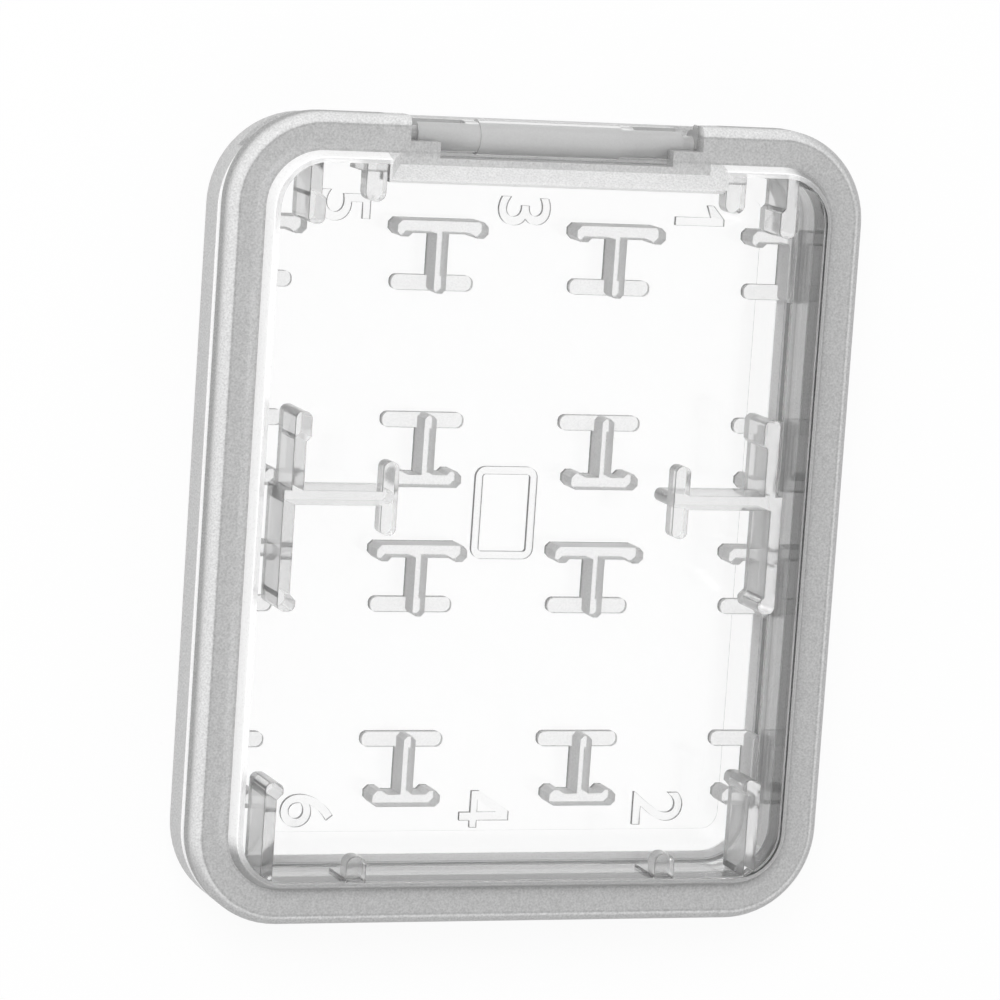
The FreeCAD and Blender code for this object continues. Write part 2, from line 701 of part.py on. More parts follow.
def check_document():
    """Stop if any object of the document failed to build."""
    for item in doc.Objects:
        if {"Invalid", "Error"} & set(item.State):
            raise RuntimeError(f"{item.Label} failed: {item.State}")


def write_part(body):
    """Check one sub-part's shape and write it to its own file."""
    shape = body.Shape
    if shape.isNull() or not shape.isValid() or len(shape.Solids) != 1:
        raise RuntimeError(f"{body.Label} is not one valid solid")
    shape.exportStep(f"parts/{body.Label}.step")
    box = shape.optimalBoundingBox(True, False)
    print(f"{body.Label}: {shape.Volume:.1f} mm3, {box.XLength:.2f} x {box.YLength:.2f} x {box.ZLength:.2f} mm")


bodies = [make_base(), make_lid()]
doc.recompute()
check_document()
os.makedirs("parts", exist_ok=True)
for finished in bodies:
    write_part(finished)
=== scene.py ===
"""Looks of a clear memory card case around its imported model: finishes, moulded numbers, studio and camera."""

import logging
import math
from dataclasses import dataclass, field
from enum import Enum

import bmesh
import bpy
from mathutils import Matrix, Vector


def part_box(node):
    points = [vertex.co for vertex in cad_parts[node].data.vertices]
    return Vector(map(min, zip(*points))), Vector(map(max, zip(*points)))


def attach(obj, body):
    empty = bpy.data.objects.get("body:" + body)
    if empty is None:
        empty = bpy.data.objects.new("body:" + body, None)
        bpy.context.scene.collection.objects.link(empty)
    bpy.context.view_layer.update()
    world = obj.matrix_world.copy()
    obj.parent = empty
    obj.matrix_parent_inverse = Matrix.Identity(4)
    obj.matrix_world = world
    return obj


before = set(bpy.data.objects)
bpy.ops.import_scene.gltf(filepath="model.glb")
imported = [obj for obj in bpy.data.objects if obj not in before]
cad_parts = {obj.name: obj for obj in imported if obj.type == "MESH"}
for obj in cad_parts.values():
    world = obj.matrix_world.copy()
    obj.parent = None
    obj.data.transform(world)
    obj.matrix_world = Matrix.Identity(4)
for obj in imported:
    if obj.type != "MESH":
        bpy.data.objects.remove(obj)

LOG = logging.getLogger("card_case")
GRAIN_PER_ROUGHNESS = 2.0
MATRIX_SIZE = 4

# Corners of the loops of two figures drawn with straight strokes, as shares of their height
STROKED_FIGURES = {
    "1": (
        ((0.0, 0.0), (0.16, 0.0), (0.16, 1.0), (0.03, 1.0), (-0.23, 0.77), (-0.23, 0.64), (0.0, 0.73)),
    ),
    "4": (
        (
            (0.06, 0.0), (0.22, 0.0), (0.22, 0.22), (0.36, 0.22), (0.36, 0.36), (0.22, 0.36), (0.22, 1.0),
            (0.04, 1.0), (-0.36, 0.38), (-0.36, 0.22), (0.06, 0.22),
        ),
        ((0.06, 0.36), (-0.19, 0.36), (0.06, 0.75)),
    ),
}


def put_in_scene(name: str, data: bpy.types.ID) -> bpy.types.Object:
    """Make an object and link it to the scene.

    Args:
        name: its name.
        data: its mesh, curve, light or camera.

    Returns:
        The new object.
    """
    item = bpy.data.objects.new(name, data)
    bpy.context.scene.collection.objects.link(item)
    return item


class Ray(Enum):
    """Kinds of ray that a studio surface answers to, named as the Light Path node's outputs."""

    CAMERA = "Is Camera Ray"
    GLOSSY = "Is Glossy Ray"
    TRANSMISSION = "Is Transmission Ray"


class Turn(Enum):
    """Which way the tops of the moulded numbers point, as a turn about the panel's normal in degrees."""

    TOPS_TO_THE_RIGHT = -90.0


class NodeBoard:
    """Shader node tree with short calls for the nodes that the finishes here are wired from."""

    def __init__(self, tree: bpy.types.NodeTree) -> None:
        """Take a tree and empty it.

        Args:
            tree: node tree of a material or of the world.
        """
        self.tree = tree
        tree.nodes.clear()

    def add(self, kind: str, **settings: object) -> bpy.types.Node:
        """Add a node.

        Args:
            kind: Blender's name of the node type.
            settings: properties to set on the node.

        Returns:
            The new node.
        """
        node = self.tree.nodes.new(kind)
        for name, value in settings.items():
            setattr(node, name, value)
        return node

    def plug(self, source: object, target: bpy.types.NodeSocket) -> None:
        """Feed a socket from another socket, or set it to a plain value.

        Args:
            source: output socket, number, vector or colour.
            target: input socket that takes it.
        """
        if isinstance(source, bpy.types.NodeSocket):
            self.tree.links.new(source, target)
        else:
            target.default_value = source

    def math(self, operation: str, *values: object, clamp: bool = False) -> bpy.types.NodeSocket:
        """Add a Math node.

        Args:
            operation: Blender's name of the operation.
            values: sockets or numbers for its inputs, in order.
            clamp: keep the result from 0 to 1.

        Returns:
            Its output socket.
        """
        node = self.add("ShaderNodeMath", operation=operation, use_clamp=clamp)
        for value, socket in zip(values, node.inputs):
            self.plug(value, socket)
        return node.outputs[0]

    def ramp(self, value: object, low: float, high: float, start: float, end: float) -> bpy.types.NodeSocket:
        """Map a value smoothly from one range to another, held at both ends.

        Args:
            value: socket to map.
            low: value that gives start.
            high: value that gives end.
            start: result at low.
            end: result at high.

        Returns:
            Socket with the mapped value.
        """
        node = self.add("ShaderNodeMapRange", interpolation_type="SMOOTHSTEP")
        for source, socket in zip((value, low, high, start, end), node.inputs):
            self.plug(source, socket)
        return node.outputs[0]

    def blend(self, share: object, first: object, second: object) -> bpy.types.NodeSocket:
        """Mix two numbers by a share.

        Args:
            share: 0 gives the first and 1 the second.
            first: socket or number.
            second: socket or number.

        Returns:
            Socket with the mixed number.
        """
        node = self.add("ShaderNodeMix", data_type="FLOAT")
        for source, socket in zip((share, first, second), (node.inputs[0], node.inputs[2], node.inputs[3])):
            self.plug(source, socket)
        return node.outputs[0]

    def grey(self, level: object) -> bpy.types.NodeSocket:
        """Turn one level into a neutral colour.

        Args:
            level: socket or number for all three channels.

        Returns:
            Colour socket.
        """
        node = self.add("ShaderNodeCombineColor")
        for socket in node.inputs:
            self.plug(level, socket)
        return node.outputs[0]

    def noise(self, place: object, scale: float, detail: float) -> bpy.types.NodeSocket:
        """Add a noise texture in object space.

        Args:
            place: vector socket.
            scale: features per metre.
            detail: octaves.

        Returns:
            Socket with the noise value.
        """
        node = self.add("ShaderNodeTexNoise", noise_dimensions="3D")
        self.plug(place, node.inputs["Vector"])
        node.inputs["Scale"].default_value = scale
        node.inputs["Detail"].default_value = detail
        return node.outputs[0]

    def seen_by(self, *kinds: Ray) -> bpy.types.NodeSocket:
        """Tell whether the ray in hand is one of some kinds.

        Args:
            kinds: kinds of ray.

        Returns:
            Socket that is 1 for those rays and 0 for others.
        """
        path = self.add("ShaderNodeLightPath")
        total: object = 0.0
        for kind in kinds:
            total = self.math("ADD", total, path.outputs[kind.value], clamp=True)
        return total


@dataclass(frozen=True)
class CaseSizes:
    """Sizes that the looks share with the solids, in metres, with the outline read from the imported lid."""

    low: Vector
    high: Vector
    corner_round: float = 0.006
    edge_round: float = 0.0006
    rim_band: float = 0.00234
    wall_band: float = 0.0029
    window_run: float = 0.0004
    window_bevel: float = 0.00025
    window_rise: float = 0.0011
    panel_thick: float = 0.0008
    floor_bevel: float = 0.00045
    base_rim_top: float = 0.0043
    reveal_bevel: float = 0.0002
    rebate_band: float = 0.0022
    slot_pitch: float = 0.01216
    step_half_length: float = 0.0113
    step_run: float = 0.00085
    strip_front: float = 0.02285
    strip_foot: float = 0.0055
    knuckle_half_length: float = 0.00895
    knuckle_front: float = 0.0233
    knuckle_foot: float = 0.0036

    @property
    def centre_y(self) -> float:
        """Middle of the lid along the case."""
        return (self.low.y + self.high.y) / 2

    @property
    def front_rim(self) -> float:
        """Level of the lid's rim face."""
        return self.high.z - self.window_rise

    @property
    def ceiling(self) -> float:
        """Level of the lid panel's inner face."""
        return self.high.z - self.panel_thick

    def outline(self, band: float) -> tuple[float, float, float]:
        """Case outline drawn in by a band.

        Args:
            band: how far inside the outer walls.

        Returns:
            Half width, half length and corner radius.
        """
        span = self.high - self.low
        return span.x / 2 - band, span.y / 2 - band, self.corner_round - band


@dataclass(frozen=True)
class Skin:
    """Surface of moulded plastic: how bright, how rough and how clear it is."""

    level: float
    roughness: float
    transmission: float

    @property
    def matt(self) -> float:
        """Share of the grain that shows: full on rough skins and faint on polished ones."""
        return min(1.0, self.roughness * GRAIN_PER_ROUGHNESS)


@dataclass(frozen=True)
class Grain:
    """Fine spark-eroded texture of the frosted skin, and the painted shade lines along its edges."""

    scale: float = 8000.0
    detail: float = 2.0
    middle: float = 0.5
    swing: float = 0.6
    height: float = 0.00002
    strength: float = 0.35
    # Painted shade lines: their width, how far they run past the round, and how much darker they are
    line_width: float = 0.00014
    line_over: float = 0.00007
    line_depth: float = 0.08


@dataclass(frozen=True)
class CaseFinish:
    """The skins on both halves, painted highlights and painted shade among them, and the plastic's own
    refraction.
    """

    polished: Skin = Skin(level=1.0, roughness=0.02, transmission=1.0)
    mark: Skin = Skin(level=0.99, roughness=0.03, transmission=0.98)
    # Painted shade: the upright sides of the raised marks are near black
    mark_side_painted_shade: Skin = Skin(level=0.12, roughness=0.3, transmission=0.1)
    post_end: Skin = Skin(level=0.97, roughness=0.2, transmission=0.82)
    base_post_side: Skin = Skin(level=0.97, roughness=0.4, transmission=0.25)
    # Painted shade: near black at the feet of the posts where they meet the panel
    post_root_painted_shade: Skin = Skin(level=0.06, roughness=0.4, transmission=0.2)
    lid_post_side: Skin = Skin(level=0.95, roughness=0.06, transmission=0.82)
    # chamfer: painted highlight, white and half clear, on the windows' narrow chamfers
    chamfer: Skin = Skin(level=1.0, roughness=0.3, transmission=0.5)
    # bevel: painted highlight, nearly opaque white, on the windows' and floor's sloped edges and the base's top
    # outer edge
    bevel: Skin = Skin(level=1.0, roughness=0.3, transmission=0.05)
    bar: Skin = Skin(level=0.78, roughness=0.1, transmission=0.5)
    frosted: Skin = Skin(level=0.58, roughness=0.4, transmission=0.25)
    base_side: Skin = Skin(level=0.6, roughness=0.5, transmission=0.2)
    lid_side: Skin = Skin(level=0.78, roughness=0.5, transmission=0.15)
    # Painted shade: dark skin on the faces along the seam between the halves
    painted_parting_shade: Skin = Skin(level=0.34, roughness=0.5, transmission=0.1)
    # Painted shade: grey skin for chamfers and bevels that face right or front, away from the lamp
    bevel_painted_shade: Skin = Skin(level=0.42, roughness=0.3, transmission=0.2)
    grain: Grain = Grain()
    ior: float = 1.5


@dataclass
class Spot:
    """Place on a moulding as sockets of a material: across, along from the middle, up, and its facing."""

    board: NodeBoard
    sizes: CaseSizes
    edge_blur: float = 0.00002
    clearance: float = 0.00004
    lean_upright: float = 0.25
    lean_level: float = 0.9
    # How far a face turns right or front before its painted shade is full
    painted_shade_turn: float = 0.4

    def __post_init__(self) -> None:
        """Read the object's own coordinates, and whether its face stands upright or turns right or front."""
        source = self.board.add("ShaderNodeTexCoord")
        self.place = source.outputs["Object"]
        axes = self.board.add("ShaderNodeSeparateXYZ")
        self.board.plug(self.place, axes.inputs[0])
        self.across = axes.outputs[0]
        self.along = self.board.math("SUBTRACT", axes.outputs[1], self.sizes.centre_y)
        self.up = axes.outputs[2]
        facing = self.board.add("ShaderNodeSeparateXYZ")
        self.board.plug(source.outputs["Normal"], facing.inputs[0])
        lean = self.board.math("ABSOLUTE", facing.outputs[2])
        self.upright = self.board.ramp(lean, self.lean_upright, self.lean_level, 1.0, 0.0)
        # Faces turned right or front, away from the lamp, are picked out for painted shade
        right = self.board.ramp(facing.outputs[0], 0.0, self.painted_shade_turn, 0.0, 1.0)
        front = self.board.ramp(facing.outputs[1], -self.painted_shade_turn, 0.0, 1.0, 0.0)
        self.painted_shade_side = self.either(right, front)

    def reach(self, band: float) -> bpy.types.NodeSocket:
        """Distance outside a rounded outline of the case, negative inside its straight sides.

        Args:
            band: how far the outline lies inside the outer walls.

        Returns:
            Socket with the distance in metres.
        """
        half_x, half_y, corner = self.sizes.outline(band)
        legs = []
        overs = []
        for place, half in ((self.across, half_x), (self.along, half_y)):
            over = self.board.math("SUBTRACT", self.board.math("ABSOLUTE", place), half - corner)
            overs.append(over)
            legs.append(self.board.math("POWER", self.board.math("MAXIMUM", over, 0.0), 2.0))
        outside = self.board.math("SQRT", self.board.math("ADD", *legs))
        within = self.board.math("MINIMUM", self.board.math("MAXIMUM", *overs), 0.0)
        return self.board.math("SUBTRACT", self.board.math("ADD", outside, within), corner)

    def above(self, value: object, level: object) -> bpy.types.NodeSocket:
        """Give 1 where a value is over a level and 0 under it, with a soft step between."""
        over = self.board.math("SUBTRACT", value, level)
        return self.board.ramp(over, -self.edge_blur, self.edge_blur, 0.0, 1.0)

    def below(self, value: object, level: object) -> bpy.types.NodeSocket:
        """Give 1 where a value is under a level and 0 over it, with a soft step between."""
        return self.board.math("SUBTRACT", 1.0, self.above(value, level))

    def both(self, *shares: object) -> bpy.types.NodeSocket:
        """Find where all of some zones hold.

        Args:
            shares: share of each zone.

        Returns:
            Share of the place where they overlap.
        """
        total = shares[0]
        for share in shares[1:]:
            total = self.board.math("MULTIPLY", total, share)
        return total

    def either(self, first: object, second: object) -> bpy.types.NodeSocket:
        """Share of the place where one of two zones holds."""
        return self.board.math("MAXIMUM", first, second)

    def near_middle(self, half: float) -> bpy.types.NodeSocket:
        """Share of the stretch about the case's middle line, out to half a length on each side."""
        return self.below(self.board.math("ABSOLUTE", self.across), half)


@dataclass(frozen=True)
class CasePlastic:
    """Material of one moulding, whose skins are parted by where they lie on it."""

    sizes: CaseSizes
    finish: CaseFinish

    def zones(self, spot: Spot) -> list[tuple[bpy.types.NodeSocket, Skin]]:
        """Skins that cover the polished one, each with its share; each half lists its own."""
        raise NotImplementedError

    def rim_face(self, spot: Spot, face: bpy.types.NodeSocket) -> bpy.types.NodeSocket:
        """Flat face of the rim, outside the window.

        Args:
            spot: the place.
            face: share of the levels of the rim's face.

        Returns:
            Share of the rim's face.
        """
        return spot.both(spot.above(spot.reach(self.sizes.rim_band), 0.0), face)

    def rim_side(self, spot: Spot) -> bpy.types.NodeSocket:
        """Outer wall of the rim and the round that leads to its face."""
        return spot.above(spot.reach(self.sizes.edge_round), 0.0)

    def painted_edge_shade(self, spot: Spot) -> bpy.types.NodeSocket:
        """Narrow lines of painted shade on the rim's face along the foot of the window and along the outer
        round.

        Args:
            spot: the place.

        Returns:
            Share of the lines.
        """
        grain = self.finish.grain
        inner = spot.reach(self.sizes.rim_band)
        foot = spot.both(spot.above(inner, 0.0), spot.below(inner, grain.line_width))
        outer = spot.reach(self.sizes.edge_round)
        crest = spot.both(spot.above(outer, -grain.line_width), spot.below(outer, grain.line_over))
        return spot.either(foot, crest)

    def ring(self, spot: Spot, band: float, width: float) -> bpy.types.NodeSocket:
        """Strip all round the case that lies inside an outline.

        Args:
            spot: the place.
            band: how far the outline lies inside the outer walls.
            width: width of the strip.

        Returns:
            Share of the strip.
        """
        reach = spot.reach(band)
        return spot.both(spot.below(reach, 0.0), spot.above(reach, -width))

    def bevel_ring(self, spot: Spot, face: bpy.types.NodeSocket) -> bpy.types.NodeSocket:
        """Sloped edge of the raised window, at the levels of a face."""
        return spot.both(self.ring(spot, self.sizes.rim_band, self.sizes.window_run), face)

    def window_edge(self, spot: Spot, face: bpy.types.NodeSocket) -> bpy.types.NodeSocket:
        """Narrow chamfer between the window's sloped edge and its flat face."""
        band = self.sizes.rim_band + self.sizes.window_run
        return spot.both(self.ring(spot, band, self.sizes.window_bevel), face)

    def material(self, name: str) -> bpy.types.Material:
        """Wire the material.

        Args:
            name: its name.

        Returns:
            The new material.
        """
        material = bpy.data.materials.new(name)
        material.use_nodes = True
        board = NodeBoard(material.node_tree)
        spot = Spot(board, self.sizes)
        grain = self.finish.grain
        speckle = board.noise(spot.place, grain.scale, grain.detail)
        swing = board.math("MULTIPLY", board.math("SUBTRACT", speckle, grain.middle), grain.swing)
        level: object = self.finish.polished.level
        roughness: object = self.finish.polished.roughness
        transmission: object = self.finish.polished.transmission
        matt: object = 0.0
        for share, skin in self.zones(spot):
            level = board.blend(share, level, skin.level)
            roughness = board.blend(share, roughness, skin.roughness)
            transmission = board.blend(share, transmission, skin.transmission)
            matt = board.blend(share, matt, skin.matt)
        # Painted shade lines along the window's foot and the rim's crest, taken off the random grain
        lines = board.math("MULTIPLY", self.painted_edge_shade(spot), grain.line_depth)
        shade = board.math("SUBTRACT", swing, lines)
        level = board.math("ADD", level, board.math("MULTIPLY", shade, matt))
        skin_node = board.add("ShaderNodeBsdfPrincipled")
        board.plug(board.grey(level), skin_node.inputs["Base Color"])
        board.plug(roughness, skin_node.inputs["Roughness"])
        board.plug(transmission, skin_node.inputs["Transmission Weight"])
        skin_node.inputs["IOR"].default_value = self.finish.ior
        bump = board.add("ShaderNodeBump")
        bump.inputs["Distance"].default_value = grain.height
        board.plug(board.math("MULTIPLY", matt, grain.strength), bump.inputs["Strength"])
        board.plug(speckle, bump.inputs["Height"])
        board.plug(bump.outputs[0], skin_node.inputs["Normal"])
        output = board.add("ShaderNodeOutputMaterial")
        board.plug(skin_node.outputs[0], output.inputs["Surface"])
        return material


@dataclass(frozen=True)
class LidPlastic(CasePlastic):
    """Plastic of the lid: satin posts with painted shade where they meet the panel, bevel painted white as a
    highlight and grey as painted shade at the right and front, frosted rim, and painted shade on the outer band
    towards the seam.
    """

    post_gap: float = 0.00004
    root_shade: float = 0.0003
    shade_low: float = 0.0054
    shade_high: float = 0.0066

    def zones(self, spot: Spot) -> list[tuple[bpy.types.NodeSocket, Skin]]:
        """Skins of the lid.

        Args:
            spot: the place.

        Returns:
            Share and skin of each zone, the last one on top.
        """
        sizes = self.sizes
        room = spot.below(spot.reach(sizes.wall_band), -self.post_gap)
        posts = spot.both(room, spot.below(spot.up, sizes.ceiling - self.post_gap))
        # Painted shade towards the ceiling, where the lid's posts meet the panel
        roots = spot.board.ramp(spot.up, sizes.ceiling - self.root_shade, sizes.ceiling, 0.0, 1.0)
        window = spot.above(spot.up, sizes.front_rim)
        step = spot.both(
            spot.near_middle(sizes.step_half_length),
            spot.above(spot.along, sizes.strip_front - sizes.step_run),
            window,
        )
        rim = self.rim_face(spot, spot.above(spot.up, sizes.front_rim - sizes.edge_round))
        strip = spot.both(
            spot.near_middle(sizes.step_half_length - sizes.step_run),
            spot.above(spot.along, sizes.strip_front),
            spot.above(spot.up, sizes.strip_foot),
        )
        # Painted shade: the outer band is dark up to shade_low and fades out by shade_high, darker towards the
        # seam
        painted_parting_shade = spot.both(
            spot.above(spot.reach(sizes.rebate_band), 0.0),
            spot.board.ramp(spot.up, self.shade_low, self.shade_high, 1.0, 0.0),
        )
        chamfer = self.window_edge(spot, window)
        bevel = self.bevel_ring(spot, window)
        side = self.rim_side(spot)
        ears = spot.both(
            spot.near_middle(sizes.step_half_length),
            spot.above(spot.along, sizes.knuckle_front),
            spot.below(spot.up, sizes.strip_foot),
        )
        return [
            (posts, self.finish.post_end),
            (spot.both(posts, spot.upright), self.finish.lid_post_side),
            (spot.both(posts, spot.upright, roots), self.finish.post_root_painted_shade),
            # Painted highlight on the window's chamfer and sloped edge, and painted shade where they face right
            # or front
            (chamfer, self.finish.chamfer),
            (spot.both(chamfer, spot.painted_shade_side), self.finish.bevel_painted_shade),
            (bevel, self.finish.bevel),
            (spot.both(bevel, spot.painted_shade_side), self.finish.bevel_painted_shade),
            (step, self.finish.lid_side),
            (spot.either(rim, strip), self.finish.frosted),
            (side, self.finish.lid_side),
            # Painted shade: the rounded side that faces right or front takes the darker frosted skin
            (spot.both(side, spot.painted_shade_side), self.finish.frosted),
            (painted_parting_shade, self.finish.painted_parting_shade),
            (ears, self.finish.bar),
        ]


@dataclass(frozen=True)
class BasePlastic(CasePlastic):
    """Plastic of the base: satin posts on its panel with painted shade at their feet, bevels painted white as a
    highlight, frosted rim, painted shade on the rim's top under the lid, and satin knuckle.
    """

    post_foot: float = 0.00006
    root_shade: float = 0.00045

    def zones(self, spot: Spot) -> list[tuple[bpy.types.NodeSocket, Skin]]:
        """Skins of the base.

        Args:
            spot: the place.

        Returns:
            Share and skin of each zone, the last one on top.
        """
        sizes = self.sizes
        wall = spot.reach(sizes.wall_band)
        slope = spot.board.math("MAXIMUM", spot.board.math("ADD", wall, sizes.floor_bevel), 0.0)
        foot = spot.board.math("ADD", slope, sizes.panel_thick + self.post_foot)
        posts = spot.both(spot.below(wall, -self.post_foot), spot.above(spot.up, foot))
        # Painted shade near the panel, where the base's posts stand on it
        shaded = sizes.panel_thick + self.root_shade
        roots = spot.board.ramp(spot.up, sizes.panel_thick, shaded, 1.0, 0.0)
        floor_edge = spot.both(
            spot.above(wall, -sizes.floor_bevel),
            spot.below(wall, -spot.edge_blur),
            spot.above(spot.up, sizes.panel_thick + spot.clearance),
            spot.below(spot.up, foot),
        )
        window = spot.below(spot.up, sizes.window_rise)
        rim = self.rim_face(spot, spot.below(spot.up, sizes.window_rise + sizes.edge_round))
        knuckle = spot.both(
            spot.near_middle(sizes.knuckle_half_length),
            spot.above(spot.along, sizes.knuckle_front),
            spot.above(spot.up, sizes.knuckle_foot),
        )
        rear_slope = spot.both(
            spot.above(spot.reach(sizes.rebate_band), spot.edge_blur),
            spot.above(spot.along, sizes.knuckle_front),
        )
        lip = spot.both(
            spot.above(spot.reach(0.0), -sizes.reveal_bevel),
            spot.above(spot.up, sizes.base_rim_top - sizes.reveal_bevel),
        )
        # Painted shade on the base's rim top inside the reveal, in the gap under the lid
        painted_parting_shade = spot.both(
            spot.below(spot.reach(sizes.reveal_bevel), -spot.edge_blur),
            spot.above(spot.reach(sizes.rebate_band), 0.0),
            spot.above(spot.up, sizes.base_rim_top - spot.clearance),
            spot.below(spot.along, sizes.knuckle_front),
        )
        return [
            (posts, self.finish.post_end),
            (spot.both(posts, spot.upright), self.finish.base_post_side),
            (spot.both(posts, spot.upright, roots), self.finish.post_root_painted_shade),
            # Painted highlight: the windows' chamfers, half clear, and their sloped edges and the floor's
            # sloped edge are painted white
            (self.window_edge(spot, window), self.finish.chamfer),
            (spot.either(self.bevel_ring(spot, window), floor_edge), self.finish.bevel),
            (rim, self.finish.frosted),
            (spot.either(self.rim_side(spot), rear_slope), self.finish.base_side),
            (painted_parting_shade, self.finish.painted_parting_shade),
            # Painted highlight: a white line along the base's top outer edge at the seam
            (lip, self.finish.bevel),
            (knuckle, self.finish.bar),
        ]


@dataclass(frozen=True)
class MarkPlastic(CasePlastic):
    """Plastic of the raised marks on the base panel: tops as clear as the panel, upright edges painted dark as
    shade.
    """

    def zones(self, spot: Spot) -> list[tuple[bpy.types.NodeSocket, Skin]]:
        """Skins of a mark.

        Args:
            spot: the place.

        Returns:
            Share and skin of each zone, the last one on top.
        """
        grain = self.finish.grain
        speckle = spot.board.noise(spot.place, grain.scale, grain.detail)
        return [(speckle, self.finish.mark), (spot.upright, self.finish.mark_side_painted_shade)]


@dataclass
class SlotNumbers:
    """Raised numbers beside the six small-card slots, tops turned to the right."""

    sizes: CaseSizes
    top_row: tuple[str, ...] = ("5", "3", "1")
    low_row: tuple[str, ...] = ("6", "4", "2")
    row_place: float = 0.0196
    cap_height: float = 0.0034
    proud: float = 0.0003
    sunk: float = 0.00002
    weld: float = 0.000002
    weight: float = 0.00004
    cap_share: float = 0.69
    turn: Turn = Turn.TOPS_TO_THE_RIGHT
    pieces: list[bpy.types.Object] = field(default_factory=list)

    def outline(self, digit: str) -> bpy.types.Curve:
        """Flat outline of one number, upright and about its own middle.

        Args:
            digit: the figure.

        Returns:
            Filled curve.
        """
        name = f"number_{digit}_outline"
        if digit not in STROKED_FIGURES:
            text = bpy.data.curves.new(name, "FONT")
            text.body = digit
            text.align_x = "CENTER"
            text.size = self.cap_height / self.cap_share
            text.offset = self.weight
            return text
        path = bpy.data.curves.new(name, "CURVE")
        path.dimensions = "2D"
        path.fill_mode = "BOTH"
        for corners in STROKED_FIGURES[digit]:
            line = path.splines.new("POLY")
            line.points.add(len(corners) - 1)
            for point, (across, up) in zip(line.points, corners):
                point.co = (across * self.cap_height, up * self.cap_height, 0.0, 1.0)
            line.use_cyclic_u = True
        return path

    def number(self, digit: str, across: float, along: float) -> bpy.types.Object:
        """Make one raised number on the base panel.

        Args:
            digit: the figure.
            across: X of its middle.
            along: Y of its middle from the middle of the case.

        Returns:
            Its mesh object.
        """
        outline = self.outline(digit)
        outline.extrude = (self.proud + self.sunk) / 2
        maker = put_in_scene(f"number_{digit}_maker", outline)
        bpy.context.view_layer.update()
        settled = maker.evaluated_get(bpy.context.evaluated_depsgraph_get())
        mesh = bpy.data.meshes.new_from_object(settled)
        bpy.data.objects.remove(maker)
        self.close(mesh)
        corners = [vertex.co for vertex in mesh.vertices]
        middle_y = (min(c.y for c in corners) + max(c.y for c in corners)) / 2
        level = self.sizes.panel_thick + (self.proud - self.sunk) / 2
        spot = Vector((across, self.sizes.centre_y + along, level))
        turned = Matrix.Rotation(math.radians(self.turn.value), MATRIX_SIZE, "Z")
        mesh.transform(Matrix.Translation(spot) @ turned @ Matrix.Translation((0.0, -middle_y, 0.0)))
        return put_in_scene(f"slot_number_{digit}", mesh)

    def close(self, mesh: bpy.types.Mesh) -> None:
        """Join the faces of a number into one closed skin that faces outwards.

        Args:
            mesh: its mesh.
        """
        skin = bmesh.new()
        skin.from_mesh(mesh)
        bmesh.ops.remove_doubles(skin, verts=skin.verts, dist=self.weld)
        bmesh.ops.recalc_face_normals(skin, faces=skin.faces)
        skin.to_mesh(mesh)
        skin.free()

    def build(self) -> list[bpy.types.Object]:
        """Make all six numbers.

        Returns:
            Their mesh objects.
        """
        for row, along in ((self.top_row, self.row_place), (self.low_row, -self.row_place)):
            for column, digit in zip((-1, 0, 1), row):
                self.pieces.append(self.number(digit, column * self.sizes.slot_pitch, along))
        return self.pieces


@dataclass
class CentreFrame:
    """Raised bare frame in the middle of the base panel."""

    sizes: CaseSizes
    width: float = 0.00425
    length: float = 0.00605
    corner: float = 0.0007
    stroke: float = 0.0005
    proud: float = 0.0003
    sunk: float = 0.00002
    corner_steps: int = 8

    def loop(self, inset: float) -> list[tuple[float, float]]:
        """Rounded outline of the frame drawn in by an inset.

        Args:
            inset: how far inside the outer edge.

        Returns:
            Points of the outline, anticlockwise.
        """
        radius = self.corner - inset
        half_x = self.width / 2 - self.corner
        half_y = self.length / 2 - self.corner
        points = []
        for turn, (side_x, side_y) in enumerate(((1, 1), (-1, 1), (-1, -1), (1, -1))):
            for step in range(self.corner_steps + 1):
                angle = (turn + step / self.corner_steps) * math.pi / 2
                across = side_x * half_x + radius * math.cos(angle)
                along = side_y * half_y + radius * math.sin(angle)
                points.append((across, along))
        return points

    def build(self) -> list[bpy.types.Object]:
        """Make the frame as one closed ring.

        Returns:
            Its mesh object, in a list.
        """
        low = self.sizes.panel_thick - self.sunk
        high = self.sizes.panel_thick + self.proud
        centre = self.sizes.centre_y
        rings = [(0.0, low), (0.0, high), (self.stroke, high), (self.stroke, low)]
        points = [(x, y + centre, level) for inset, level in rings for x, y in self.loop(inset)]
        count = len(points) // len(rings)
        faces = []
        for ring in range(len(rings)):
            here, there = ring * count, (ring + 1) % len(rings) * count
            for i in range(count):
                j = (i + 1) % count
                faces.append((here + i, here + j, there + j, there + i))
        mesh = bpy.data.meshes.new("centre_frame")
        mesh.from_pydata(points, [], faces)
        return [put_in_scene("centre_frame", mesh)]


@dataclass
class CaseHalf:
    """What both halves of the case have: shared sizes and finish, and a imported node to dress."""

    sizes: CaseSizes
    finish: CaseFinish

    def dress_shell(self, node: str, material: bpy.types.Material) -> bpy.types.Object:
        """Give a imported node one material.

        Args:
            node: name of the node.
            material: its material.

        Returns:
            The node's object.
        """
        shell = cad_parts[node]
        shell.data.materials.clear()
        shell.data.materials.append(material)
        return shell


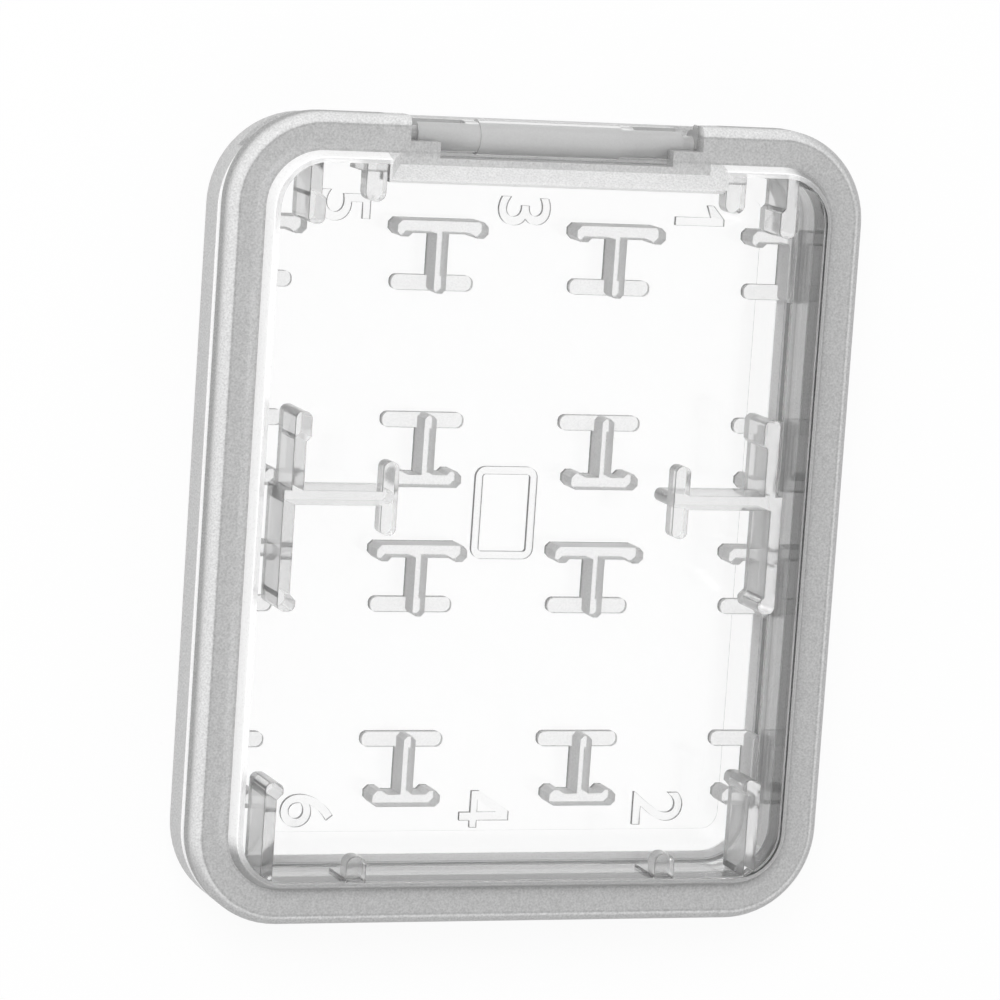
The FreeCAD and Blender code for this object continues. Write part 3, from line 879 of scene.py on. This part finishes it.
@dataclass
class BaseTray(CaseHalf):
    """Back half of the case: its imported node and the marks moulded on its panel."""

    node: str = "base_tray"
    body: str = "base"
    slot: str = "clear_base"

    def dress(self) -> list[bpy.types.Object]:
        """Give the node its finish and add the marks.

        Returns:
            The pieces of this half.
        """
        plastic = BasePlastic(self.sizes, self.finish).material("base_plastic")
        shell = self.dress_shell(self.node, plastic)
        marked = MarkPlastic(self.sizes, self.finish).material("mark_plastic")
        pieces = SlotNumbers(self.sizes).build() + CentreFrame(self.sizes).build()
        for piece in pieces:
            piece.data.materials.append(marked)
            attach(piece, self.body)
        return [shell, *pieces]


@dataclass
class LidCover(CaseHalf):
    """Front half of the case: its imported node."""

    node: str = "lid_cover"

    def dress(self) -> list[bpy.types.Object]:
        """Give the node its finish.

        Returns:
            The pieces of this half.
        """
        plastic = LidPlastic(self.sizes, self.finish).material("lid_plastic")
        return [self.dress_shell(self.node, plastic)]


@dataclass
class Studio:
    """Pale floor, soft light and white surroundings."""

    floor_half: float = 1.5
    floor_drop: float = 0.00003
    floor_level: float = 0.9
    floor_glow: float = 1.0
    floor_glow_share: float = 0.9
    floor_glow_through: float = 1.09
    world_level: float = 0.95
    world_shown: float = 1.0
    key_place: Vector = field(default_factory=lambda: Vector((-0.25, 0.35, 0.6)))
    key_size: float = 0.35
    key_power: float = 2.2

    def floor(self) -> bpy.types.Object:
        """Lay the floor, which shows white to the camera and through the plastic but keeps a soft shadow.

        Returns:
            The floor object.
        """
        half = self.floor_half
        mesh = bpy.data.meshes.new("studio_floor")
        corners = [(-half, -half), (half, -half), (half, half), (-half, half)]
        mesh.from_pydata([(x, y, -self.floor_drop) for x, y in corners], [], [(0, 1, 2, 3)])
        floor = put_in_scene("studio_floor", mesh)
        material = bpy.data.materials.new("floor_white")
        material.use_nodes = True
        board = NodeBoard(material.node_tree)
        paint = board.add("ShaderNodeBsdfDiffuse")
        paint.inputs["Color"].default_value = (self.floor_level,) * 3 + (1.0,)
        glow = board.add("ShaderNodeEmission")
        through = board.seen_by(Ray.TRANSMISSION)
        board.plug(board.blend(through, self.floor_glow, self.floor_glow_through), glow.inputs["Strength"])
        mix = board.add("ShaderNodeMixShader")
        mix.inputs[0].default_value = self.floor_glow_share
        board.plug(paint.outputs[0], mix.inputs[1])
        board.plug(glow.outputs[0], mix.inputs[2])
        output = board.add("ShaderNodeOutputMaterial")
        board.plug(mix.outputs[0], output.inputs["Surface"])
        mesh.materials.append(material)
        return floor

    def surroundings(self) -> None:
        """Light the scene from a pale room, which is white where it shows and in what the plastic mirrors."""
        world = bpy.data.worlds.new("studio_room")
        bpy.context.scene.world = world
        world.use_nodes = True
        board = NodeBoard(world.node_tree)
        shown = board.seen_by(Ray.CAMERA, Ray.GLOSSY, Ray.TRANSMISSION)
        level = board.blend(shown, self.world_level, self.world_shown)
        back = board.add("ShaderNodeBackground")
        board.plug(level, back.inputs["Strength"])
        output = board.add("ShaderNodeOutputWorld")
        board.plug(back.outputs[0], output.inputs["Surface"])

    def key(self) -> bpy.types.Object:
        """Hang one large soft lamp over the rear left.

        Returns:
            The lamp.
        """
        data = bpy.data.lights.new("soft_key", "AREA")
        data.shape = "SQUARE"
        data.size = self.key_size
        data.energy = self.key_power
        lamp = put_in_scene("soft_key", data)
        lamp.location = self.key_place
        lamp.rotation_euler = (-self.key_place).to_track_quat("-Z", "Y").to_euler()
        return lamp

    def build(self) -> None:
        """Set up floor, surroundings, lamp and colour handling."""
        self.floor()
        self.surroundings()
        self.key()
        bpy.context.scene.view_settings.view_transform = "Standard"


@dataclass
class PhotoCamera:
    """Long lens over the lid, swung to the left and lifted towards the hinge, as in the photograph."""

    target: Vector = field(default_factory=lambda: Vector((-0.001333, 0.001665, 0.004)))
    distance: float = 0.3382
    swing: float = 20.19
    lift: float = 8.42
    roll: float = 3.88
    sensor: float = 36.0
    lens: float = 189.8
    near_share: float = 0.1
    far_share: float = 100.0

    def build(self) -> bpy.types.Object:
        """Place the camera and make it the scene's own.

        Returns:
            The camera object.
        """
        data = bpy.data.cameras.new("photo_camera")
        data.sensor_width = self.sensor
        data.lens = self.lens
        data.clip_start = self.distance * self.near_share
        data.clip_end = self.distance * self.far_share
        camera = put_in_scene("photo_camera", data)
        turns = [(-self.swing, "Y"), (-self.lift, "X"), (self.roll, "Z")]
        place = Matrix.Translation(self.target)
        for angle, axis in turns:
            place = place @ Matrix.Rotation(math.radians(angle), MATRIX_SIZE, axis)
        camera.matrix_world = place @ Matrix.Translation((0.0, 0.0, self.distance))
        bpy.context.scene.camera = camera
        return camera


def main() -> None:
    """Dress both halves of the case, then set up the studio and the camera."""
    logging.basicConfig(level=logging.INFO, format="%(name)s: %(message)s")
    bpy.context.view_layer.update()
    sizes = CaseSizes(*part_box("lid_cover"))
    finish = CaseFinish()
    for half in (BaseTray(sizes, finish), LidCover(sizes, finish)):
        for piece in half.dress():
            LOG.info("dressed %s", piece.name)
    Studio().build()
    PhotoCamera().build()


if __name__ == "__main__":
    main()
